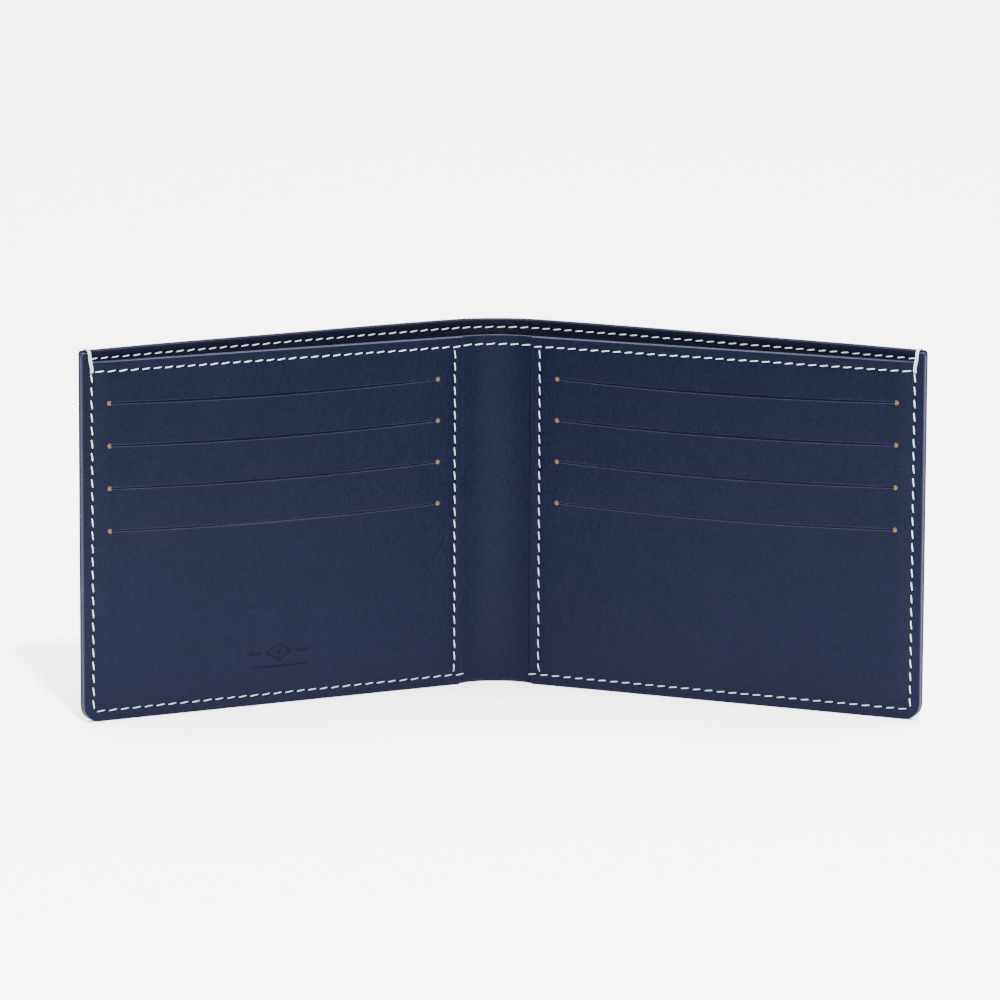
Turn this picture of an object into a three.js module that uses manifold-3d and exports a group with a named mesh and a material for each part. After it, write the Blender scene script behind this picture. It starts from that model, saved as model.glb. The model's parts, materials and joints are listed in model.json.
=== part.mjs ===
// A leather billfold with eight card slots, standing half open on its bottom edge.
//
// Two wings turn on the upright creases of a narrow spine. Each wing is a stack of leather pieces,
// sewn together along its side and bottom: outer shell, lining, inner wall, pocket liners and card panel.
// The shell and lining lean back from the flat pieces in front of them, which opens the bill compartment
// between the lining and the inner wall.
// Millimetres, +Z up. The origin is on the ground, at the middle of the spine's outer shell.
// The inside of the billfold faces -Y, and a wing's "along" runs from its crease to its free side.

import * as THREE from 'three';
import { mergeVertices } from 'three/addons/utils/BufferGeometryUtils.js';
import Module from 'manifold-3d';

// The cards that the slots are made for, and the room that a card has in its slot.
const cardLength = 85.6;
const cardClearance = 4.4;
const pocketDepth = 44.1;

// The slits in a card panel.
const slotCount = 4;
const slitPitch = 10.3;
const slitWidth = 0.5;
const slitSag = 0.9;
const pinHoleRadius = 0.5;
const slitSideMargin = 7.25;
const slitTopMargin = 10;

// Leather and lining thicknesses, and the air between two pieces that lie on each other.
const shellThickness = 0.8;
const liningThickness = 0.3;
const wallThickness = 0.5;
const linerThickness = 0.15;
const panelThickness = 0.7;
const layerGap = 0.06;

// The bill compartment, and how far the outer shell stands above it.
const compartmentDepth = 5.4;
const wallDrop = 2.7;
const spineWallLift = 1.2;

// Edges, corners and creases.
const panelSetback = 7.1;
const bottomCornerRadius = 4;
const topCornerRadius = 0.7;
const creaseGap = 0.1;
const closingClearance = 0.16;
const openAngle = THREE.MathUtils.degToRad(28);

// Seams, each a continuous line of thread that lies on the leather.
const seamInset = 2.3;
const shellSeamInset = 2.2;
const threadWidth = 0.5;
const threadThickness = 0.2;
const seamClearance = 0.8;
const linerHem = 4;

// Sizes that follow from those above.
const slitLength = cardLength + cardClearance;
const panelWidth = slitLength + 2 * slitSideMargin;
const panelHeight = seamInset + pocketDepth + (slotCount - 1) * slitPitch + slitTopMargin;
const shellHeight = panelHeight + wallDrop;
const wingLength = panelSetback + panelWidth;

// Where each layer's back lies, measured forwards from the middle of the outer shell's bottom edge.
const shellBack = -shellThickness / 2;
const liningBack = shellBack + shellThickness + layerGap;
const wallBack = liningBack + liningThickness + threadThickness + 2 * layerGap;
const linerBack = wallBack + wallThickness + layerGap;
const linerStep = linerThickness + layerGap;
const panelBack = linerBack + slotCount * linerStep;
const panelSeamBack = panelBack + panelThickness + layerGap;
const wingFront = panelSeamBack + threadThickness;

// The creases stand far enough apart for the two card panels to clear each other when the billfold is shut.
const halfSpine = wingFront + closingClearance;

// The grid that a draped piece is bent on, and how far its blank reaches past the piece or its mitre.
const drapeColumns = 16;
const drapeRows = 8;
const overlap = 1;
const blankDepth = 40;
const pastMitre = compartmentDepth;

const palette = {
  shellLeather: new THREE.MeshStandardMaterial({ color: 0x1b2140, roughness: 0.5, metalness: 0 }),
  panelLeather: new THREE.MeshStandardMaterial({ color: 0x262b52, roughness: 0.55, metalness: 0 }),
  liningLeather: new THREE.MeshStandardMaterial({ color: 0x15182e, roughness: 0.7, metalness: 0 }),
  linerCloth: new THREE.MeshStandardMaterial({ color: 0x1c2038, roughness: 0.9, metalness: 0 }),
  thread: new THREE.MeshStandardMaterial({ color: 0xb9c6d4, roughness: 0.7, metalness: 0 }),
};

const wasm = await Module();
wasm.setup();

// How far the shell and its lining lean back from the inner wall: not at all along the sewn side
// and bottom, and most at the top of the crease, where the compartment is widest.
function standOff(along, up) {
  const fromSide = THREE.MathUtils.clamp(1 - along / wingLength, 0, 1);
  const fromBottom = THREE.MathUtils.clamp(up / shellHeight, 0, 1);
  return compartmentDepth * fromSide * (1 - (1 - fromBottom) ** 2);
}

function toSolid(geometry) {
  const bare = geometry.clone();
  bare.deleteAttribute('normal');
  bare.deleteAttribute('uv');
  const merged = mergeVertices(bare, 1e-5);
  const vertProperties = new Float32Array(merged.attributes.position.array);
  const triVerts = new Uint32Array(merged.index.array);
  return new wasm.Manifold(new wasm.Mesh({ numProp: 3, vertProperties, triVerts }));
}

function toGeometry(solid) {
  const mesh = solid.getMesh();
  const geometry = new THREE.BufferGeometry();
  geometry.setAttribute('position', new THREE.BufferAttribute(mesh.vertProperties, 3));
  geometry.setIndex(new THREE.BufferAttribute(mesh.triVerts, 1));
  return geometry;
}

// Pieces are cut out flat: X runs along the piece, Y is up and Z is forwards.
function cutOut(outline, back, thickness) {
  const geometry = new THREE.ExtrudeGeometry(outline, {
    depth: thickness,
    bevelEnabled: false,
    curveSegments: 5,
  });
  return toSolid(geometry.translate(0, 0, back));
}

// A sheet that leans back as standOff says, wide enough for a piece to be cut from it.
function drapedBlank(fromX, toX, back, thickness, along) {
  const width = toX - fromX + 2 * overlap;
  const height = shellHeight + 2 * overlap;
  const blank = new THREE.BoxGeometry(width, height, thickness, drapeColumns, drapeRows, 1);
  blank.translate((fromX + toX) / 2, shellHeight / 2, back + thickness / 2);
  const points = blank.attributes.position;
  for (let i = 0; i < points.count; i += 1) {
    points.setZ(i, points.getZ(i) - standOff(along(points.getX(i)), points.getY(i)));
  }
  return toSolid(blank);
}

function rectangle(x0, y0, x1, y1) {
  const [left, right] = [Math.min(x0, x1), Math.max(x0, x1)];
  return new THREE.Shape([
    new THREE.Vector2(left, y0),
    new THREE.Vector2(right, y0),
    new THREE.Vector2(right, y1),
    new THREE.Vector2(left, y1),
  ]);
}

// A wing piece's outline: square at the crease, with both corners of the free side rounded.
function wingOutline(side, start, height) {
  const outline = new THREE.Shape();
  outline.moveTo(side * start, 0);
  outline.lineTo(side * (wingLength - bottomCornerRadius), 0);
  outline.quadraticCurveTo(side * wingLength, 0, side * wingLength, bottomCornerRadius);
  outline.lineTo(side * wingLength, height - topCornerRadius);
  outline.quadraticCurveTo(side * wingLength, height, side * (wingLength - topCornerRadius), height);
  outline.lineTo(side * start, height);
  return outline;
}

// The L-shaped seam along a wing's bottom and free side.
function edgeSeamOutline(side, start, top) {
  const near = seamInset - threadWidth / 2;
  const far = seamInset + threadWidth / 2;
  const turn = bottomCornerRadius;
  const outline = new THREE.Shape();
  outline.moveTo(side * start, near);
  outline.lineTo(side * (wingLength - turn), near);
  outline.quadraticCurveTo(side * (wingLength - near), near, side * (wingLength - near), turn);
  outline.lineTo(side * (wingLength - near), top);
  outline.lineTo(side * (wingLength - far), top);
  outline.lineTo(side * (wingLength - far), turn);
  outline.quadraticCurveTo(side * (wingLength - far), far, side * (wingLength - turn), far);
  outline.lineTo(side * start, far);
  return outline;
}

// The space on the far side of the plane that halves the angle between spine and wing.
function pastCrease(side, creaseX, angle) {
  const size = 3 * shellHeight;
  const block = new THREE.BoxGeometry(size, size, size);
  block.translate(side * (size / 2 - creaseGap / 2), 0, 0);
  return toSolid(block.rotateY(angle).translate(creaseX, shellHeight / 2, 0));
}

function mitreWing(solid, side) {
  return solid.subtract(pastCrease(-side, 0, side * openAngle / 2));
}

function mitreSpine(solid) {
  const right = pastCrease(1, halfSpine, -openAngle / 2);
  const left = pastCrease(-1, -halfSpine, openAngle / 2);
  return solid.subtract(right).subtract(left);
}

// Stands a piece up, so that its front faces -Y.
function piece(name, solid, material) {
  const mesh = new THREE.Mesh(toGeometry(solid).rotateX(Math.PI / 2), material);
  mesh.name = name;
  return mesh;
}

function flatWingPiece(name, side, outline, back, thickness, material) {
  return piece(name, mitreWing(cutOut(outline, back, thickness), side), material);
}

function drapedWingPiece(name, side, outline, back, thickness, material) {
  const ends = [-side * pastMitre, side * wingLength];
  const along = (x) => side * x;
  const blank = drapedBlank(Math.min(...ends), Math.max(...ends), back, thickness, along);
  const solid = blank.intersect(cutOut(outline, -blankDepth / 2, blankDepth));
  return piece(name, mitreWing(solid, side), material);
}

function slitHeight(slot) {
  return panelHeight - slitTopMargin - slot * slitPitch;
}

// One card slit, hanging slightly in its middle, with a pin hole punched through at each end.
function slitSolids(side, slot) {
  const start = side * (panelSetback + slitSideMargin);
  const end = start + side * slitLength;
  const middle = (start + end) / 2;
  const low = slitHeight(slot) - slitWidth / 2;
  const high = slitHeight(slot) + slitWidth / 2;
  const outline = new THREE.Shape();
  outline.moveTo(start, low);
  outline.quadraticCurveTo(middle, low - 2 * slitSag, end, low);
  outline.lineTo(end, high);
  outline.quadraticCurveTo(middle, high - 2 * slitSag, start, high);
  const cuts = [cutOut(outline, -blankDepth / 2, blankDepth)];
  for (const x of [start, end]) {
    const hole = new THREE.CylinderGeometry(pinHoleRadius, pinHoleRadius, blankDepth, 10);
    cuts.push(toSolid(hole.rotateX(Math.PI / 2).translate(x, slitHeight(slot), 0)));
  }
  return cuts;
}

function cardPanel(name, side) {
  const outline = wingOutline(side, panelSetback, panelHeight);
  let panel = cutOut(outline, panelBack, panelThickness);
  for (let slot = 0; slot < slotCount; slot += 1) {
    for (const cut of slitSolids(side, slot)) {
      panel = panel.subtract(cut);
    }
  }
  return piece(name, panel, palette.panelLeather);
}

// A thin sheet behind each slit, which keeps that slot's card apart from the next one's.
function pocketLiners(name, side) {
  const inner = side * (panelSetback + seamInset + seamClearance);
  const outer = side * (wingLength - seamInset - seamClearance);
  const liners = [];
  for (let slot = 0; slot < slotCount; slot += 1) {
    const top = slitHeight(slot) + linerHem;
    const bottom = Math.max(slitHeight(slot) - pocketDepth, 0) + layerGap;
    const outline = rectangle(inner, bottom, outer, top);
    const solid = cutOut(outline, linerBack + slot * linerStep, linerThickness);
    liners.push(piece(`${name}_pocket_liner_${slot + 1}`, solid, palette.linerCloth));
  }
  return liners;
}

// The lines of thread on one wing. Each seam shows on both faces of what it holds together.
function wingSeams(name, side) {
  const edge = edgeSeamOutline(side, panelSetback + threadWidth, panelHeight - seamInset / 2);
  const shellEdge = edgeSeamOutline(side, panelSetback + threadWidth, shellHeight - seamInset / 2);
  const seamStart = panelSetback + seamInset;
  const row = [side * (seamStart - threadWidth / 2), side * (seamStart + threadWidth / 2)];
  const rowTop = panelHeight - seamInset - threadWidth;
  const panelRow = rectangle(row[0], seamInset + threadWidth, row[1], rowTop);
  const topEnd = side * (wingLength - seamInset - threadWidth);
  const topHeight = panelHeight - seamInset;
  const topRow = (start) => rectangle(
    side * start, topHeight - threadWidth / 2, topEnd, topHeight + threadWidth / 2,
  );
  const shellRowHeight = shellHeight - shellSeamInset;
  const shellRow = rectangle(
    -side * pastMitre, shellRowHeight - threadWidth / 2, topEnd, shellRowHeight + threadWidth / 2,
  );
  const onShell = shellBack - layerGap - threadThickness;
  const onWall = wallBack - layerGap - threadThickness;
  const onLining = liningBack + liningThickness + layerGap;
  const draped = (part, outline, back) => drapedWingPiece(
    `${name}_${part}`, side, outline, back, threadThickness, palette.thread,
  );
  const flat = (part, outline, back) => flatWingPiece(
    `${name}_${part}`, side, outline, back, threadThickness, palette.thread,
  );
  return [
    flat('edge_seam_front', edge, panelSeamBack),
    draped('edge_seam_back', shellEdge, onShell),
    flat('panel_seam_front', panelRow, panelSeamBack),
    flat('panel_seam_back', panelRow, onWall),
    flat('top_seam_front', topRow(panelSetback + threadWidth), panelSeamBack),
    flat('top_seam_back', topRow(0), onWall),
    draped('shell_top_seam_front', shellRow, onLining),
    draped('shell_top_seam_back', shellRow, onShell),
  ];
}

function wing(name, side) {
  const shell = wingOutline(side, -pastMitre, shellHeight);
  const wall = wingOutline(side, 0, panelHeight);
  const group = new THREE.Group();
  group.add(
    drapedWingPiece(`${name}_outer_shell`, side, shell, shellBack, shellThickness, palette.shellLeather),
    drapedWingPiece(`${name}_lining`, side, shell, liningBack, liningThickness, palette.liningLeather),
    flatWingPiece(`${name}_inner_wall`, side, wall, wallBack, wallThickness, palette.panelLeather),
    cardPanel(`${name}_card_panel`, side),
    ...pocketLiners(name, side),
    ...wingSeams(name, side),
  );
  group.position.x = side * halfSpine;
  group.rotation.z = -side * openAngle;
  return group;
}

function spinePiece(part, outline, back, thickness, material) {
  return piece(`spine_${part}`, mitreSpine(cutOut(outline, back, thickness)), material);
}

function drapedSpinePiece(part, outline, back, thickness, material) {
  const reach = halfSpine + pastMitre;
  const blank = drapedBlank(-reach, reach, back, thickness, () => 0);
  const solid = blank.intersect(cutOut(outline, -blankDepth / 2, blankDepth));
  return piece(`spine_${part}`, mitreSpine(solid), material);
}

function spine() {
  const reach = halfSpine + pastMitre;
  const band = (low, high) => rectangle(-reach, low, reach, high);
  const row = (height) => band(height - threadWidth / 2, height + threadWidth / 2);
  const topRow = row(panelHeight - seamInset);
  const shellRow = row(shellHeight - shellSeamInset);
  const shell = band(0, shellHeight);
  const wall = band(spineWallLift, panelHeight);
  const onLining = liningBack + liningThickness + layerGap;
  const onShell = shellBack - layerGap - threadThickness;
  const onWall = wallBack - layerGap - threadThickness;
  const wallFront = wallBack + wallThickness + layerGap;
  const { thread, shellLeather, liningLeather, panelLeather } = palette;
  const group = new THREE.Group();
  group.add(
    drapedSpinePiece('outer_shell', shell, shellBack, shellThickness, shellLeather),
    drapedSpinePiece('lining', shell, liningBack, liningThickness, liningLeather),
    spinePiece('inner_wall', wall, wallBack, wallThickness, panelLeather),
    spinePiece('top_seam_front', topRow, wallFront, threadThickness, thread),
    spinePiece('top_seam_back', topRow, onWall, threadThickness, thread),
    drapedSpinePiece('shell_top_seam_front', shellRow, onLining, threadThickness, thread),
    drapedSpinePiece('shell_top_seam_back', shellRow, onShell, threadThickness, thread),
  );
  return group;
}

const billfold = new THREE.Group();
billfold.add(spine(), wing('left', -1), wing('right', 1));

export default billfold;
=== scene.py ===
import json
import math

import bmesh
import bpy
from mathutils import Matrix, Vector, noise


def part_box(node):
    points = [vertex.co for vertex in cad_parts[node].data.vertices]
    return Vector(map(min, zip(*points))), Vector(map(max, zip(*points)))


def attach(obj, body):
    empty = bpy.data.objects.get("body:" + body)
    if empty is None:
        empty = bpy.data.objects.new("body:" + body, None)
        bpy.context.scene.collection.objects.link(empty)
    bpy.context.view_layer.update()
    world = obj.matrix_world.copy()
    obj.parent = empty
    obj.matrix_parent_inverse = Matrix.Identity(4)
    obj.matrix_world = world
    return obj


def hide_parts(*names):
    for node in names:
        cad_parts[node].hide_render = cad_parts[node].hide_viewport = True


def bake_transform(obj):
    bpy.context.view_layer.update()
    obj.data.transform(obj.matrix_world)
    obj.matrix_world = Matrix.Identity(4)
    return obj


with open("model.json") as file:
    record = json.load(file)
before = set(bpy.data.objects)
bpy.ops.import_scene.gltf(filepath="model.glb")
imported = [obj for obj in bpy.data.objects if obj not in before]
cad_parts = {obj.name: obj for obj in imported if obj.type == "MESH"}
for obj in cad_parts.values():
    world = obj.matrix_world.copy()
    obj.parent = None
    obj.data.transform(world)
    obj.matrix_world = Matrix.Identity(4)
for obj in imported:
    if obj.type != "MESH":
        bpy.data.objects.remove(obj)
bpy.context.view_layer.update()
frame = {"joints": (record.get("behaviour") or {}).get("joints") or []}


# ---- Outer shell --------------------------------------------------------------------------------
# One sheet of navy leather behind everything else, with bevelled and painted edges. It leans back
# from the pieces in front of it, and each half bends between the spine and its wing.

mm = 0.001
sides = {"left": -1, "right": 1}

right_fold = next(joint for joint in frame["joints"] if joint["name"] == "right_fold")
half_spine = right_fold["pos_m"][0]
open_angle = math.radians(-right_fold["range_deg"][0])
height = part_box("right_outer_shell")[1].z

# The leather goes round the spine in one arc that starts at its middle. A piece is laid out flat
# by its run, which is the distance outwards from there, its depth in front of the shell, and its height.
arc_radius = half_spine / math.tan(open_angle / 2)
arc_run = arc_radius * open_angle
crease_run = arc_run - half_spine
wing_length = 110.8 * mm
side_run = crease_run + wing_length
panel_run = crease_run + 7.1 * mm

seam_inset = 2.3 * mm
bottom_row = 2.65 * mm
shell_row = height - 2.2 * mm
spine_lean = 10.2 * mm
wing_bow = 1.2 * mm
shell_back = -0.4 * mm
shell_thickness = 0.8 * mm


def smooth(share):
    share = min(max(share, 0), 1)
    return share * share * (3 - 2 * share)


def place(side, run, depth, up):
    """Where a flat point goes on the standing billfold. The sewn edges are pressed thinner than the rest."""
    pressed = 1 - 0.38 * (1 - smooth(min(side_run - run, up) / (6 * mm)))
    if depth > shell_back:
        depth = (depth - shell_back) * pressed + shell_back
    turn = min(run, arc_run) / arc_radius
    beyond = max(run - arc_run, 0)
    x = arc_radius * math.sin(turn) + beyond * math.cos(turn) - depth * math.sin(turn)
    y = arc_radius * (1 - math.cos(turn)) + beyond * math.sin(turn) + depth * math.cos(turn)
    return Vector((side * x, -y, up))


def lean(run, up):
    """How far the shell and lining lie behind their place at the bottom."""
    along = max(run - crease_run, 0) / wing_length
    rise = 1 - (1 - min(up / height, 1)) ** 2
    bow = wing_bow * math.sin(math.pi * along) + 0.25 * mm * math.sin(3 * math.pi * along)
    return (spine_lean * (1 - along) + bow) * rise


def ring_distance(run, up, inner, outer, low, high, radius):
    """The distance from a seam that goes round in a rectangle with rounded corners."""
    across = abs(run - (inner + outer) / 2) - (outer - inner) / 2 + radius
    upright = abs(up - (low + high) / 2) - (high - low) / 2 + radius
    outside = math.hypot(max(across, 0), max(upright, 0))
    return abs(outside + min(max(across, upright), 0) - radius)


def groove(distance):
    """Leather is pulled down along a seam."""
    return -0.16 * mm * math.exp(-((distance / (0.5 * mm)) ** 2))


def lines_between(start, end, step):
    count = max(round((end - start) / step), 1)
    return [start + (end - start) * i / count for i in range(1, count)]


def lines_about(middle, offsets):
    return [middle + offset * mm for offset in offsets]


def cut_sheet(inner, outer, low, high, run_lines, up_lines, low_radius=0, high_radius=0):
    """A flat sheet, with its free side's corners rounded, gridded along those lines."""
    sheet = bmesh.new()
    outline = [(inner, low), (outer, low), (outer, high), (inner, high)]
    corners = [sheet.verts.new((run, 0, up)) for run, up in outline]
    sheet.faces.new(corners)
    for corner, radius in ((corners[1], low_radius), (corners[2], high_radius)):
        if radius:
            bmesh.ops.bevel(
                sheet, geom=[corner], offset=radius, offset_type="OFFSET", segments=6,
                profile=0.5, affect="VERTICES", material=-1,
            )
    for axis, lines in ((0, run_lines), (2, up_lines)):
        normal = [0, 0, 0]
        normal[axis] = 1
        for line in lines:
            point = [0, 0, 0]
            point[axis] = line
            everything = sheet.verts[:] + sheet.edges[:] + sheet.faces[:]
            bmesh.ops.bisect_plane(
                sheet, geom=everything, plane_co=point, plane_no=normal, dist=1e-7,
            )
    return sheet


def thicken(sheet, thickness, bevel):
    """Gives a flat sheet its thickness, with its edges bevelled and painted."""
    made = bmesh.ops.extrude_face_region(sheet, geom=sheet.faces[:])
    front = [item for item in made["geom"] if isinstance(item, bmesh.types.BMVert)]
    bmesh.ops.translate(sheet, verts=front, vec=(0, thickness, 0))
    bmesh.ops.recalc_face_normals(sheet, faces=sheet.faces[:])

    def is_rim(edge):
        first, second = edge.verts
        if abs(first.co.y - second.co.y) > thickness / 2 or max(first.co.x, second.co.x) < 1e-6:
            return False
        return edge.is_manifold and edge.calc_face_angle() > 1.2

    bmesh.ops.bevel(
        sheet, geom=[edge for edge in sheet.edges if is_rim(edge)], offset=bevel,
        offset_type="OFFSET", segments=2, profile=0.5, affect="EDGES", material=-1,
    )
    for face in sheet.faces:
        face.material_index = int(abs(face.normal.y) < 0.97)


def lay(sheet, side, shape):
    """Moves a flat sheet to its place. shape gives each of its points a run, a depth and a height."""
    flat = sheet.verts.layers.float_vector.new("flat")
    for vert in sheet.verts:
        vert[flat] = (side * vert.co.x, vert.co.y, vert.co.z)
        vert.co = place(side, *shape(*vert.co))
    bmesh.ops.recalc_face_normals(sheet, faces=sheet.faces[:])


def make_piece(name, shape, materials, sharp=38):
    for face in shape.faces:
        face.smooth = True
    mesh = bpy.data.meshes.new(name)
    shape.to_mesh(mesh)
    shape.free()
    mesh.set_sharp_from_angle(angle=math.radians(sharp))
    for material in materials:
        mesh.materials.append(material)
    piece = bpy.data.objects.new(name, mesh)
    bpy.context.scene.collection.objects.link(piece)
    return piece


def bend_with(piece):
    """Bakes the piece's transform into its mesh. Its turn between the spine and the wing is already in its
    shape, from lay.
    """
    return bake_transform(piece)


def leather(name, color, roughness, grain, painted_low_light_color=None, worn=(0, 0, 0), wear=0.0):
    """Smooth calf leather, with fine pebbled grain that keeps to the flat layout of the piece.
    Its colour is painted paler towards the bottom as painted light and darker towards the top as painted
    shade, blending towards the low colour given (1.2 times the colour if none is given), with random tone
    and pores mixed into the blend."""
    material = bpy.data.materials.new(name)
    material.use_nodes = True
    nodes, links = material.node_tree.nodes, material.node_tree.links
    shader = nodes["Principled BSDF"]
    flat = nodes.new("ShaderNodeAttribute")
    flat.attribute_name = "flat"

    pebbles = nodes.new("ShaderNodeTexVoronoi")
    pebbles.feature = "SMOOTH_F1"
    pebbles.inputs["Scale"].default_value = 1500
    pebbles.inputs["Smoothness"].default_value = 0.6
    links.new(flat.outputs["Vector"], pebbles.inputs["Vector"])
    creases = nodes.new("ShaderNodeTexNoise")
    creases.inputs["Scale"].default_value = 620
    creases.inputs["Detail"].default_value = 4
    links.new(flat.outputs["Vector"], creases.inputs["Vector"])
    relief = nodes.new("ShaderNodeMath")
    relief.operation = "MULTIPLY_ADD"
    relief.inputs[1].default_value = 0.9
    links.new(pebbles.outputs["Distance"], relief.inputs[0])
    links.new(creases.outputs["Fac"], relief.inputs[2])
    bump = nodes.new("ShaderNodeBump")
    bump.inputs["Strength"].default_value = grain
    bump.inputs["Distance"].default_value = 0.3 * mm
    links.new(relief.outputs["Value"], bump.inputs["Height"])
    links.new(bump.outputs["Normal"], shader.inputs["Normal"])

    tone = nodes.new("ShaderNodeTexNoise")
    tone.inputs["Scale"].default_value = 55
    tone.inputs["Detail"].default_value = 5
    links.new(flat.outputs["Vector"], tone.inputs["Vector"])
    split = nodes.new("ShaderNodeSeparateXYZ")
    links.new(flat.outputs["Vector"], split.inputs["Vector"])
    # Painted light and shade: the blend factor falls with height, so the colour is paler low down and darker
    # at the top. Random tone and pores are added to it.
    painted_light_and_tone = nodes.new("ShaderNodeMath")
    painted_light_and_tone.operation = "MULTIPLY_ADD"
    painted_light_and_tone.inputs[1].default_value = -1 / height
    links.new(split.outputs["Z"], painted_light_and_tone.inputs[0])
    patchy = nodes.new("ShaderNodeMath")
    patchy.operation = "MULTIPLY_ADD"
    patchy.inputs[1].default_value = 0.5
    links.new(tone.outputs["Fac"], patchy.inputs[0])
    pores = nodes.new("ShaderNodeMapRange")
    pores.inputs["From Min"].default_value = 0.55
    pores.inputs["From Max"].default_value = 1.1
    pores.inputs["To Min"].default_value = 0.55
    pores.inputs["To Max"].default_value = 0.95
    links.new(relief.outputs["Value"], pores.inputs["Value"])
    links.new(pores.outputs["Result"], patchy.inputs[2])
    links.new(patchy.outputs["Value"], painted_light_and_tone.inputs[2])
    # The mix goes from the colour at the top to the paler low colour at the bottom, as painted light and
    # shade.
    painted_light_and_tone_mix = nodes.new("ShaderNodeMix")
    painted_light_and_tone_mix.data_type = "RGBA"
    painted_light_and_tone_mix.inputs["A"].default_value = (*color, 1)
    painted_light_and_tone_mix.inputs["B"].default_value = (*(painted_low_light_color or (1.2 * value for value in color)), 1)
    links.new(painted_light_and_tone.outputs["Value"], painted_light_and_tone_mix.inputs["Factor"])
    rubbed = nodes.new("ShaderNodeMix")
    rubbed.data_type = "RGBA"
    rubbed.inputs["B"].default_value = (*worn, 1)
    links.new(painted_light_and_tone_mix.outputs["Result"], rubbed.inputs["A"])
    patches = nodes.new("ShaderNodeMapRange")
    patches.inputs["From Min"].default_value = 0.55
    patches.inputs["From Max"].default_value = 0.8
    patches.inputs["To Max"].default_value = wear
    links.new(creases.outputs["Fac"], patches.inputs["Value"])
    links.new(patches.outputs["Result"], rubbed.inputs["Factor"])
    links.new(rubbed.outputs["Result"], shader.inputs["Base Color"])

    gloss = nodes.new("ShaderNodeMapRange")
    gloss.inputs["To Min"].default_value = roughness - 0.05
    gloss.inputs["To Max"].default_value = roughness + 0.07
    links.new(creases.outputs["Fac"], gloss.inputs["Value"])
    links.new(gloss.outputs["Result"], shader.inputs["Roughness"])
    shader.inputs["Specular IOR Level"].default_value = 0.04
    return material


# The shell's second colour is painted on its bottom as painted light. The edge paint is painted 1.2 times
# paler low down in the same way.
shell_leather = leather("shell_leather", (0.0021, 0.0029, 0.0098), 0.55, 0.5, (0.0028, 0.0034, 0.0115))
edge_paint = leather("edge_paint", (0.0095, 0.0090, 0.024), 0.42, 0.25, None, (0.030, 0.027, 0.055), 0.4)

spine_lines = [value * mm for value in (0.1, 0.5, 1, 1.6, 2.3, 3, 3.7, 4.4, 5.1, 5.8, 6.5, 7.3, 8.2, 9.2)]
rim_lines = [0.5, 1.1]
row_lines = [-1, -0.55, -0.25, 0, 0.25, 0.55]

shell_runs = (
    spine_lines
    + lines_between(panel_run, side_run - 5 * mm, 3 * mm)
    + [side_run - 4 * mm]
    + lines_about(side_run - seam_inset, row_lines)
    + [side_run - value * mm for value in rim_lines]
)
shell_ups = (
    [value * mm for value in rim_lines]
    + lines_about(bottom_row, row_lines)
    + lines_between(4 * mm, shell_row - 2 * mm, 3 * mm)
    + lines_about(shell_row, row_lines)
    + [height - value * mm for value in rim_lines]
)


def shell_groove(run, up):
    edge = side_run - seam_inset
    return groove(ring_distance(run, up, -0.2, edge, bottom_row, shell_row, 1.7 * mm))


def shell_shape(run, depth, up):
    pull = shell_groove(run, up) * (1 if depth > shell_thickness / 2 else -1)
    wave = 0.12 * mm * noise.noise(Vector((run, up, 0.3)) * 45)
    return run, depth + shell_back - lean(run, up) + pull + wave * min(up / 0.03, 1), up


for side_name, side in sides.items():
    sheet = cut_sheet(0, side_run, 0, height, shell_runs, shell_ups, 4 * mm, 0.9 * mm)
    thicken(sheet, shell_thickness, 0.22 * mm)
    lay(sheet, side, shell_shape)
    shell = make_piece(f"{side_name}_shell_leather", sheet, [shell_leather, edge_paint])
    bend_with(shell)
    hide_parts(f"{side_name}_outer_shell", "spine_outer_shell")


# ---- Lining -------------------------------------------------------------------------------------
# Thin dark leather on the inside of the shell. It's the back wall of the bill compartment, seen above
# the wings' panels with a row of stitches along its top.

lining_leather = leather("lining_leather", (0.0014, 0.0017, 0.0050), 0.66, 0.45)
lining_depth = 0.46 * mm
lining_thickness = 0.3 * mm


def lining_shape(run, depth, up):
    pull = 0.6 * shell_groove(run, up)
    return run, depth + lining_depth - lean(run, up) + pull, up


for side_name, side in sides.items():
    edge, top = side_run - 0.05 * mm, height - 0.3 * mm
    sheet = cut_sheet(
        0, edge, 0.1 * mm, top, shell_runs[:-2], shell_ups[2:-2], 4 * mm, 0.9 * mm,
    )
    thicken(sheet, lining_thickness, 0.08 * mm)
    lay(sheet, side, lining_shape)
    lining = make_piece(f"{side_name}_lining_leather", sheet, [lining_leather, edge_paint])
    bend_with(lining)
    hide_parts(f"{side_name}_lining", "spine_lining")


# ---- Inner wall ---------------------------------------------------------------------------------
# The front wall of the bill compartment, of the same leather as the card panels. It crosses the spine,
# where it shows between them, and its bottom edge lifts clear of the shell's there.

panel_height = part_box("right_card_panel")[1].z
top_row = panel_height - seam_inset
wall_depth = 1.08 * mm
wall_thickness = 0.5 * mm

# The panels' second colour, about three times paler, is painted on their bottom as painted light, leaving
# the top darker as painted shade.
panel_leather = leather("panel_leather", (0.0010, 0.0019, 0.0066), 0.56, 0.5, (0.0032, 0.0035, 0.0115))


def border_rise(run, up):
    """Outside the side seam, the edge strip of the wall and the card panel goes on up to the shell's top."""
    return 2.2 * mm * smooth((run - side_run + 2.1 * mm) / (0.6 * mm)) * smooth((up - top_row) / (2 * mm))


def glued(run, up):
    """1 along the sewn side and bottom, where the layers lie glued on each other, and 0 elsewhere."""
    sewn_low = up if run > panel_run + 0.5 * mm else 1
    return 1 - smooth((min(side_run - run, sewn_low) - 1.4 * mm) / (1.6 * mm))


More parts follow.
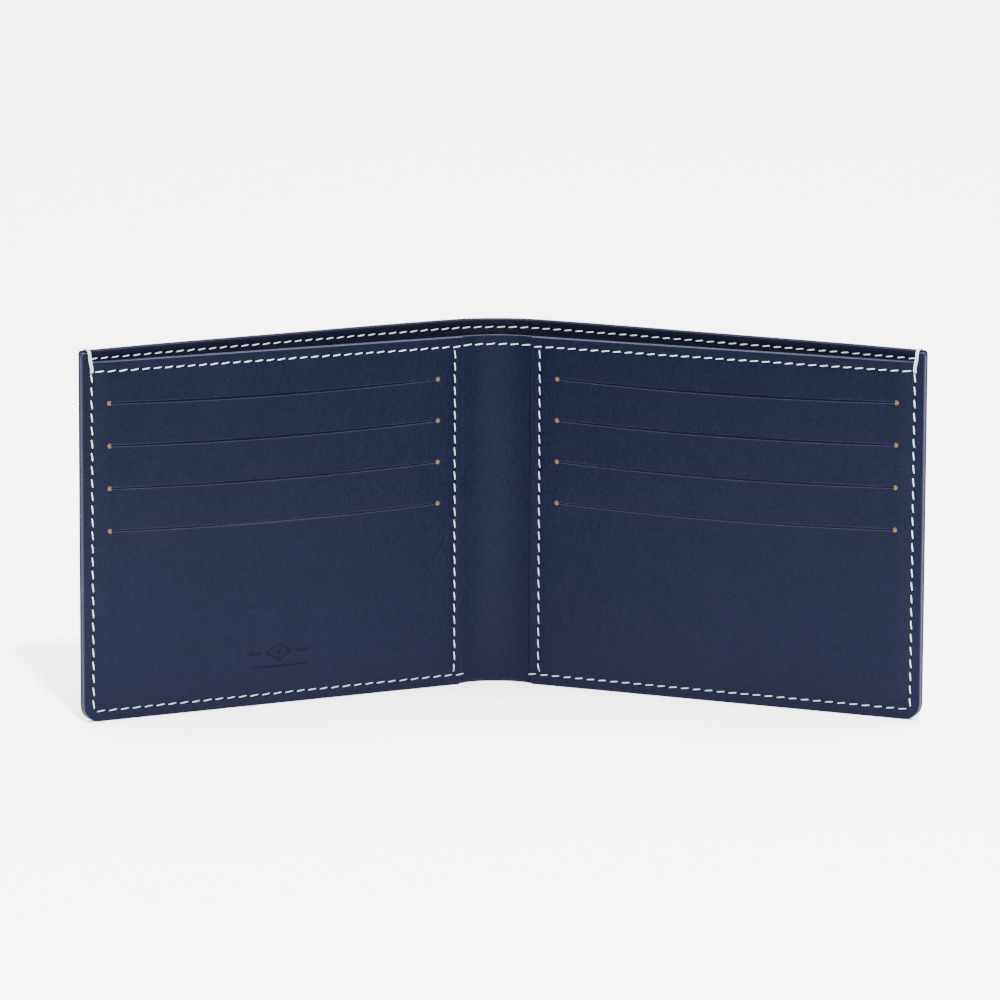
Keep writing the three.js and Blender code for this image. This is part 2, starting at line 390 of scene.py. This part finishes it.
def wall_shape(run, depth, up):
    front = depth > wall_thickness / 2
    lift = 0.45 * mm * smooth((panel_run - 1 * mm - run) / (3 * mm))
    pull = groove(up - top_row) * (0.6 if front else -0.6)
    if not front:
        pull -= 0.28 * mm * glued(run, up)
    return run, depth + wall_depth + pull, up + lift * (1 - up / panel_height) + border_rise(run, up)


wall_ups = (
    [value * mm for value in rim_lines]
    + lines_between(1.1 * mm, top_row - 1 * mm, 4 * mm)
    + lines_about(top_row, row_lines)
    + [panel_height - value * mm for value in rim_lines]
)
for side_name, side in sides.items():
    wing_runs = lines_between(panel_run - 1 * mm, side_run - 3 * mm, 6 * mm)
    wing_runs += [side_run - value * mm for value in (2.1, 1.8, 1.5, 0.8)]
    edge = side_run - 0.05 * mm
    sheet = cut_sheet(0, edge, 0, panel_height, spine_lines + wing_runs, wall_ups, 4 * mm, 0.7 * mm)
    thicken(sheet, wall_thickness, 0.16 * mm)
    lay(sheet, side, wall_shape)
    wall = make_piece(f"{side_name}_compartment_wall", sheet, [panel_leather, edge_paint])
    bend_with(wall)
    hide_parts(f"{side_name}_inner_wall", "spine_inner_wall")


# ---- Card panels --------------------------------------------------------------------------------
# The face of each wing, with four card slits that hang and gape a little and end in punched pin holes,
# where pale raw leather shows. The left one has a blind stamp near its bottom.

panel_thickness = 0.7 * mm
panel_back = 2.48 * mm
slit_start = panel_run + 7.25 * mm
slit_end = slit_start + 90 * mm
slit_pitch = 10.3 * mm
slit_ups = [panel_height - 10 * mm - slot * slit_pitch for slot in range(4)]
slit_half, pin_half = 0.15, 0.42
slit_offsets = [-1.3, -pin_half, -slit_half, 0, slit_half, pin_half, 1.3]
hole_floor = 0.42 * mm
stamp_run = crease_run + 58.5 * mm
stamp_up = 12.5 * mm

raw_leather = leather("raw_leather", (0.075, 0.050, 0.023), 0.8, 0.6)
pressed_leather = leather("pressed_leather", (0.0016, 0.0019, 0.0064), 0.45, 0.2)


def stamp(run, up):
    """A lozenge between two short bars, over a thin rule, pressed into the leather."""
    across, above = abs(run - stamp_run) / mm, (up - stamp_up) / mm
    if across > 10 or abs(above) > 6:
        return 0
    lozenge = abs(across / 4 + abs(above - 0.6) / 2.3 - 0.85) - 0.16
    dot = (across / 4 + abs(above - 0.6) / 2.3 - 0.28) * 1.5
    bar = max(abs(across - 6.5) - 1.7, abs(above - 0.6) - 0.36)
    rule = max(across - 8.2, abs(above + 3) - 0.26)
    nearest = min(lozenge * 2, dot * 2, bar, rule)
    return -0.2 * mm * min(max(0.5 - nearest / 0.35, 0), 1)


def panel_relief(run, up):
    """The depth of the card panel's face, from where it would be if the leather were quite flat."""
    inner, outer = panel_run + seam_inset, side_run - seam_inset
    distance = ring_distance(run, up, inner, outer, bottom_row, top_row, 1.7 * mm)
    inside = inner < run < outer and bottom_row < up < top_row
    puff = 0.08 * mm * smooth(distance / (5 * mm)) if inside else 0
    return groove(distance) + puff + 0.05 * mm * noise.noise(Vector((run, up, 0.7)) * 60)


def panel_shape(side):
    def shape(run, depth, up):
        front = depth > panel_thickness / 2
        moved_run, moved_up, moved_depth = run, up + border_rise(run, up), depth + panel_back
        moved_depth += panel_relief(run, up) * (1 if front else 0.3)
        if front and side < 0:
            moved_depth += stamp(run, up)
        if not front:
            moved_depth -= 0.86 * mm * glued(run, up)
        along = (run - slit_start) / (slit_end - slit_start)
        hang = 4 * along * (1 - along) if 0 < along < 1 else 0
        for slit_up in slit_ups:
            above = up - slit_up
            if abs(above) > 6 * mm:
                continue
            sag = 0.9 * mm * hang * math.exp(-((above / (3 * mm)) ** 2))
            gape = 0.1 * mm * hang * math.exp(-((above / (0.8 * mm)) ** 2))
            moved_up += math.copysign(gape, above) - sag
            lip = hang * math.exp(-abs(above) / (1.3 * mm))
            moved_depth += 0.24 * mm * lip if above < 0 else -0.3 * mm * lip
            for end in (slit_start, slit_end):
                aside = run - end
                square, radial = max(abs(aside), abs(above)), math.hypot(aside, above)
                if 0 < square < 1.25 * mm:
                    rounding = min(max((1.25 * mm - square) / (0.7 * mm), 0), 1)
                    scale = rounding * (square / radial - 1)
                    moved_run += aside * scale
                    moved_up += above * scale
        return moved_run, moved_depth, moved_up
    return shape


for side_name, side in sides.items():
    panel_runs = (
        [panel_run + value * mm for value in rim_lines]
        + lines_about(panel_run + seam_inset, row_lines)
        + [panel_run + 4 * mm]
        + lines_about(slit_start, slit_offsets)
        + lines_between(slit_start + 1.3 * mm, slit_end - 1.3 * mm, 3 * mm)
        + lines_about(slit_end, slit_offsets)
        + [side_run - 4 * mm]
        + lines_about(side_run - seam_inset, row_lines)
        + [side_run - value * mm for value in (1.5, *rim_lines)]
    )
    panel_ups = (
        [value * mm for value in rim_lines]
        + lines_about(bottom_row, row_lines)
        + lines_between(4 * mm, slit_ups[-1] - 1.3 * mm, 3.2 * mm)
        + [line for slit_up in slit_ups for line in lines_about(slit_up, slit_offsets)]
        + [slit_up + value * mm for slit_up in slit_ups[1:] for value in (3, 5, 7.5)]
        + lines_between(slit_ups[0] + 1.3 * mm, top_row - 1 * mm, 2.2 * mm)
        + lines_about(top_row, row_lines)
        + [panel_height - value * mm for value in rim_lines]
    )
    if side < 0:
        panel_runs += lines_between(stamp_run - 9.1 * mm, stamp_run + 9.1 * mm, 0.26 * mm)
        panel_ups += lines_between(stamp_up - 4.2 * mm, stamp_up + 3.8 * mm, 0.26 * mm)
    sheet = cut_sheet(
        panel_run, side_run, 0, panel_height, panel_runs, panel_ups, 4 * mm, 0.7 * mm,
    )

    def is_open(face):
        middle = face.calc_center_median()
        for slit_up in slit_ups:
            above = abs(middle.z - slit_up)
            beside = min(abs(middle.x - slit_start), abs(middle.x - slit_end))
            if above < slit_half * mm and slit_start < middle.x < slit_end:
                return True
            if above < pin_half * mm and beside < pin_half * mm:
                return True
        return False

    bmesh.ops.delete(sheet, geom=[face for face in sheet.faces if is_open(face)], context="FACES")
    thicken(sheet, panel_thickness, 0.15 * mm)
    for face in sheet.faces:
        middle = face.calc_center_median()
        beside = min(abs(middle.x - slit_start), abs(middle.x - slit_end))
        above = min(abs(middle.z - slit_up) for slit_up in slit_ups)
        if face.material_index == 1 and beside < 0.7 * mm and above < 0.7 * mm:
            face.material_index = 2
        if side < 0 and stamp(middle.x, middle.z) < -0.1 * mm:
            face.material_index = 3
    for slit_up in slit_ups:
        for end in (slit_start, slit_end):
            turned = Matrix.Translation((end, hole_floor, slit_up)) @ Matrix.Rotation(-math.pi / 2, 4, "X")
            floor_of_hole = bmesh.ops.create_circle(
                sheet, cap_ends=True, segments=12, radius=0.5 * mm, matrix=turned,
            )
            for face in floor_of_hole["verts"][0].link_faces:
                face.material_index = 2
    lay(sheet, side, panel_shape(side))
    panel = make_piece(
        f"{side_name}_slotted_panel", sheet, [panel_leather, edge_paint, raw_leather, pressed_leather],
    )
    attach(panel, f"{side_name}_wing")
    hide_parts(f"{side_name}_card_panel")


# ---- Pocket liners ------------------------------------------------------------------------------
# A sheet of thin navy twill behind each slit, glued at its edges so that a card can stand in it. They
# are stacked from back to front, top slit first, and show only as a dark edge through the slits' gaps.

pocket_cloth = bpy.data.materials.new("pocket_cloth")
pocket_cloth.use_nodes = True
nodes, links = pocket_cloth.node_tree.nodes, pocket_cloth.node_tree.links
shader = nodes["Principled BSDF"]
flat = nodes.new("ShaderNodeAttribute")
flat.attribute_name = "flat"
twill = nodes.new("ShaderNodeTexWave")
twill.wave_type = "BANDS"
twill.bands_direction = "DIAGONAL"
twill.inputs["Scale"].default_value = 1600
twill.inputs["Distortion"].default_value = 0.4
links.new(flat.outputs["Vector"], twill.inputs["Vector"])
weave = nodes.new("ShaderNodeBump")
weave.inputs["Strength"].default_value = 0.5
weave.inputs["Distance"].default_value = 0.05 * mm
links.new(twill.outputs["Fac"], weave.inputs["Height"])
links.new(weave.outputs["Normal"], shader.inputs["Normal"])
shader.inputs["Base Color"].default_value = (0.013, 0.016, 0.038, 1)
shader.inputs["Roughness"].default_value = 0.9

pocket_depth = 44.04 * mm


def set_back(back):
    """A flat sheet stays flat, at that depth."""
    def shape(run, depth, up):
        return run, depth + back, up
    return shape


for side_name, side in sides.items():
    for slot, slit_up in enumerate(slit_ups):
        inner, outer = panel_run + 3.1 * mm, side_run - 3.1 * mm
        low, high = slit_up - pocket_depth, slit_up + 4 * mm
        run_lines = lines_between(inner, outer, 8 * mm)
        sheet = cut_sheet(inner, outer, low, high, run_lines, lines_between(low, high, 8 * mm))
        thicken(sheet, 0.15 * mm, 0.04 * mm)
        lay(sheet, side, set_back((1.64 + 0.21 * slot) * mm))
        liner = make_piece(f"{side_name}_pocket_cloth_{slot + 1}", sheet, [pocket_cloth, pocket_cloth])
        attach(liner, f"{side_name}_wing")
        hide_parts(f"{side_name}_pocket_liner_{slot + 1}")


# ---- Stitches on the card panels ----------------------------------------------------------------
# Single lock stitches of pale waxed thread round each panel, slightly slanted, each between two needle
# holes, drawn as near-black discs of painted shade. The bottom row's last stitch laps over the panel's inner
# edge.

thread = bpy.data.materials.new("thread")
thread.use_nodes = True
nodes, links = thread.node_tree.nodes, thread.node_tree.links
shader = nodes["Principled BSDF"]
strand = nodes.new("ShaderNodeAttribute")
strand.attribute_name = "strand"
ply = nodes.new("ShaderNodeTexWave")
ply.wave_type = "BANDS"
ply.bands_direction = "DIAGONAL"
ply.inputs["Scale"].default_value = 1150
ply.inputs["Distortion"].default_value = 1.2
links.new(strand.outputs["Vector"], ply.inputs["Vector"])
twist = nodes.new("ShaderNodeBump")
twist.inputs["Strength"].default_value = 1
twist.inputs["Distance"].default_value = 0.14 * mm
links.new(ply.outputs["Fac"], twist.inputs["Height"])
links.new(twist.outputs["Normal"], shader.inputs["Normal"])
shader.inputs["Base Color"].default_value = (0.32, 0.39, 0.43, 1)
shader.inputs["Roughness"].default_value = 0.55

# Near-black with no reflection: painted shade, standing for the shadow inside the needle holes.
needle_hole_shade = bpy.data.materials.new("needle_hole_shade")
needle_hole_shade.use_nodes = True
shader = needle_hole_shade.node_tree.nodes["Principled BSDF"]
shader.inputs["Base Color"].default_value = (0.0006, 0.0006, 0.001, 1)
shader.inputs["Roughness"].default_value = 0.9
shader.inputs["Specular IOR Level"].default_value = 0

stitch_pitch = 3.05 * mm
edge_pitch = 3.22 * mm
stitch_length = 2.3 * mm
thread_radius = 0.16 * mm


def along_path(path, distance):
    """The point on a path of flat points at that distance from its start, and its direction there."""
    for start, end in zip(path, path[1:]):
        length = (end - start).length
        if distance <= length or end is path[-1]:
            way = (end - start) / length
            return start + way * distance, way
        distance -= length


def sew(row, side, path, surface, facing, spacing=stitch_pitch):
    """Adds the stitches along a path to a row. surface gives the leather's depth, and facing is
    1 on its front and -1 on its back."""
    # Round the spine, leather behind the arc is longer than the flat path and leather before it shorter.
    across = (path[0][0] + path[-1][0]) / 2
    stretch = 1 - surface(across, path[0][1]) / arc_radius if across < arc_run else 1
    strand = row.verts.layers.float_vector.get("strand") or row.verts.layers.float_vector.new("strand")
    path = [Vector(point) for point in path]
    total = sum((end - start).length for start, end in zip(path, path[1:]))
    count = max(round(total * stretch / spacing), 1)
    pitch = total / count
    slant = 0.12 * side * facing
    for number in range(count):
        middle, way = along_path(path, (number + 0.5) * pitch)
        aside = Vector((-way.y, way.x))
        slack = 0.02 * mm * math.sin(7.3 * number)
        stitch = bmesh.ops.create_uvsphere(row, u_segments=6, v_segments=7, radius=1)["verts"]
        for vert in stitch:
            thick = math.hypot(vert.co.x, vert.co.y)
            full = thick ** -0.62 if thick > 1e-6 else 0
            reach = vert.co.z * stitch_length / 2
            width = vert.co.x * full * thread_radius + slant * reach + slack
            rise = vert.co.y * full * 0.9 * thread_radius + 0.1 * mm - 0.14 * mm * vert.co.z ** 2
            run, up = middle + way * reach / stretch + aside * width
            vert[strand] = (reach, width, 0)
            vert.co = place(side, run, surface(*middle) + facing * rise, up)
        # At each end a near-black disc is laid on the leather: painted shade for the shadow inside the
        # needle hole.
        for end in (-1, 1):
            hole = bmesh.ops.create_circle(row, cap_ends=True, segments=8, radius=0.19 * mm)["verts"]
            for face in hole[0].link_faces:
                face.material_index = 1
            for vert in hole:
                reach = end * stitch_length / 2 + 1.2 * vert.co.x
                run, up = middle + way * reach / stretch + aside * (vert.co.y + slant * reach + slack)
                vert.co = place(side, run, surface(*middle) + facing * 0.05 * mm, up)


def make_row(name, row, nodes_replaced):
    piece = make_piece(name, row, [thread, needle_hole_shade], 60)
    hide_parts(*nodes_replaced)
    return piece


def sew_edge(row, side, start, side_at, top, surface, facing):
    """One row along the bottom to the corner, and one from there up the free side."""
    along_bottom = [(start, bottom_row), (side_at - 0.3 * mm, bottom_row)]
    sew(row, side, along_bottom, surface, facing, edge_pitch)
    sew(row, side, [(side_at, bottom_row + 0.1 * mm), (side_at, top)], surface, facing, edge_pitch)


def panel_face(run, up):
    return panel_back + panel_thickness + panel_relief(run, up)


for side_name, side in sides.items():
    side_at, inner_at = side_run - seam_inset, panel_run + seam_inset
    row = bmesh.new()
    sew_edge(row, side, panel_run - 1.3 * mm, side_at, top_row, panel_face, 1)
    edge_row = make_row(f"{side_name}_edge_stitches", row, [f"{side_name}_edge_seam_front"])
    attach(edge_row, f"{side_name}_wing")

    row = bmesh.new()
    path = [(inner_at, bottom_row + 0.4 * mm), (inner_at, top_row - 0.4 * mm)]
    sew(row, side, path, panel_face, 1)
    inner_row = make_row(f"{side_name}_inner_stitches", row, [f"{side_name}_panel_seam_front"])
    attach(inner_row, f"{side_name}_wing")

    row = bmesh.new()
    sew(row, side, [(panel_run + 0.3 * mm, top_row), (side_at - 0.4 * mm, top_row)], panel_face, 1)
    top_stitches = make_row(f"{side_name}_top_stitches", row, [f"{side_name}_top_seam_front"])
    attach(top_stitches, f"{side_name}_wing")


# ---- Stitches on the inner wall -----------------------------------------------------------------
# The top row goes on across the spine, and the rows that hold the panels show on the wall's back,
# inside the bill compartment.


def wall_front(run, up):
    return wall_depth + wall_thickness - 0.06 * mm


def wall_back(run, up):
    return wall_depth + 0.04 * mm


for side_name, side in sides.items():
    row = bmesh.new()
    sew(row, side, [(0, top_row), (panel_run - 0.5 * mm, top_row)], wall_front, 1)
    crossing = make_row(f"{side_name}_spine_stitches", row, ["spine_top_seam_front"])
    bend_with(crossing)

    row = bmesh.new()
    sew(row, side, [(0, top_row), (side_run - seam_inset, top_row)], wall_back, -1)
    wall_row = make_row(
        f"{side_name}_wall_top_stitches", row, [f"{side_name}_top_seam_back", "spine_top_seam_back"],
    )
    bend_with(wall_row)

    row = bmesh.new()
    inner_at = panel_run + seam_inset
    sew(row, side, [(inner_at, bottom_row), (inner_at, top_row - 0.4 * mm)], wall_back, -1)
    wall_inner = make_row(f"{side_name}_wall_inner_stitches", row, [f"{side_name}_panel_seam_back"])
    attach(wall_inner, f"{side_name}_wing")


# ---- Stitches on the shell ----------------------------------------------------------------------
# The edge seam comes through to the outside, and a row along the top holds the lining to the shell.
# That row shows from inside too, above the inner wall.


def shell_outside(run, up):
    return shell_back - lean(run, up) - shell_groove(run, up)


def lining_inside(run, up):
    return lining_depth + lining_thickness - lean(run, up) + 0.6 * shell_groove(run, up)


for side_name, side in sides.items():
    row = bmesh.new()
    sew_edge(row, side, panel_run, side_run - seam_inset, shell_row - 1 * mm, shell_outside, -1)
    shell_edge = make_row(f"{side_name}_shell_edge_stitches", row, [f"{side_name}_edge_seam_back"])
    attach(shell_edge, f"{side_name}_wing")

    for facing, surface, face_name in ((1, lining_inside, "front"), (-1, shell_outside, "back")):
        row = bmesh.new()
        sew(row, side, [(0, shell_row), (arc_run, shell_row)], surface, facing)
        sew(row, side, [(arc_run, shell_row), (side_run - seam_inset, shell_row)], surface, facing)
        shell_top = make_row(
            f"{side_name}_shell_top_stitches_{face_name}", row,
            [f"{side_name}_shell_top_seam_{face_name}", f"spine_shell_top_seam_{face_name}"],
        )
        bend_with(shell_top)


# ---- Corner threads -----------------------------------------------------------------------------
# At each top outer corner the thread is taken twice over the edges, from the panel's face over the
# wall and then over the top of the shell.

for side_name, side in sides.items():
    for turn, offset in (("inner", -0.2), ("outer", 0.2)):
        curve = bpy.data.curves.new(f"{side_name}_corner_thread_{turn}", "CURVE")
        curve.dimensions = "3D"
        curve.bevel_depth = thread_radius
        curve.bevel_resolution = 3
        curve.resolution_u = 6
        run = side_run - seam_inset + offset * mm
        up_the_face = [
            (2.6, top_row - 0.5 * mm), (3.3, top_row - 0.1 * mm), (3.42, top_row + 0.6 * mm),
            (3.45, panel_height - 0.5 * mm), (3.45, panel_height + 0.8 * mm), (3.4, height - 1 * mm),
        ]
        over_the_top = [
            (3.1, height - 0.2 * mm), (2.2, height + 0.1 * mm), (0.9, height + 0.3 * mm),
            (-0.1, height + 0.3 * mm), (-0.6, height),
        ]
        down_the_back = [
            (-0.7, height - 0.8 * mm), (-0.7, height - 1.8 * mm), (-0.3, height - 2.4 * mm),
        ]
        points = up_the_face + over_the_top + down_the_back
        spline = curve.splines.new("NURBS")
        spline.points.add(len(points) - 1)
        spline.order_u = 3
        spline.use_endpoint_u = True
        for point, (depth, up) in zip(spline.points, points):
            aside = 0.5 * mm * smooth((up - top_row) / (4 * mm))
            point.co = (*place(side, run + aside, depth * mm, up), 1)
        curve.materials.append(thread)
        loop = bpy.data.objects.new(curve.name, curve)
        bpy.context.scene.collection.objects.link(loop)
        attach(loop, f"{side_name}_wing")


# ---- Studio -------------------------------------------------------------------------------------
# A white table under a long soft light, with a small key light in front that throws a soft shadow
# back from the wings. The camera stands in front of the billfold and a little above it.

table = bmesh.new()
bmesh.ops.create_grid(table, x_segments=1, y_segments=1, size=6)
white = bpy.data.materials.new("white_table")
white.use_nodes = True
shader = white.node_tree.nodes["Principled BSDF"]
shader.inputs["Base Color"].default_value = (0.9, 0.9, 0.9, 1)
shader.inputs["Roughness"].default_value = 0.8
floor = make_piece("table", table, [white])

world = bpy.data.worlds.new("studio")
bpy.context.scene.world = world
world.use_nodes = True
world.node_tree.nodes["Background"].inputs["Color"].default_value = (1, 1, 1, 1)
world.node_tree.nodes["Background"].inputs["Strength"].default_value = 0.15


def soft_light(name, place_at, aim, size, power):
    lamp = bpy.data.lights.new(name, "AREA")
    lamp.shape = "RECTANGLE"
    lamp.size, lamp.size_y = size
    lamp.energy = power
    light = bpy.data.objects.new(name, lamp)
    light.location = place_at
    light.rotation_euler = (Vector(aim) - Vector(place_at)).to_track_quat("-Z", "Y").to_euler()
    bpy.context.scene.collection.objects.link(light)


soft_light("overhead", (0.1, 1.9, 1.8), (0.1, 1.9, 0), (3.6, 5.2), 620)
soft_light("key", (0.12, -1.0, 0.96), (0, 0, 0.04), (0.1, 0.1), 90)
soft_light("front_fill", (0.1, -1.1, 0.25), (0, 0, 0.02), (1.2, 0.2), 5)

camera_data = bpy.data.cameras.new("camera")
camera_data.lens = 210.9
camera_data.sensor_width = 36
camera = bpy.data.objects.new("camera", camera_data)
bpy.context.scene.collection.objects.link(camera)
azimuth, elevation, roll = math.radians(-2.1), math.radians(8.96), 0.0043
back = Vector((
    math.sin(azimuth) * math.cos(elevation), -math.cos(azimuth) * math.cos(elevation), math.sin(elevation),
))
aim, distance = Vector((1.05 * mm, 0, 45.65 * mm)), 1.457
camera.location = aim + distance * back
camera.rotation_euler = (back.to_track_quat("Z", "Y").to_matrix() @ Matrix.Rotation(roll, 3, "Z")).to_euler()
bpy.context.scene.camera = camera
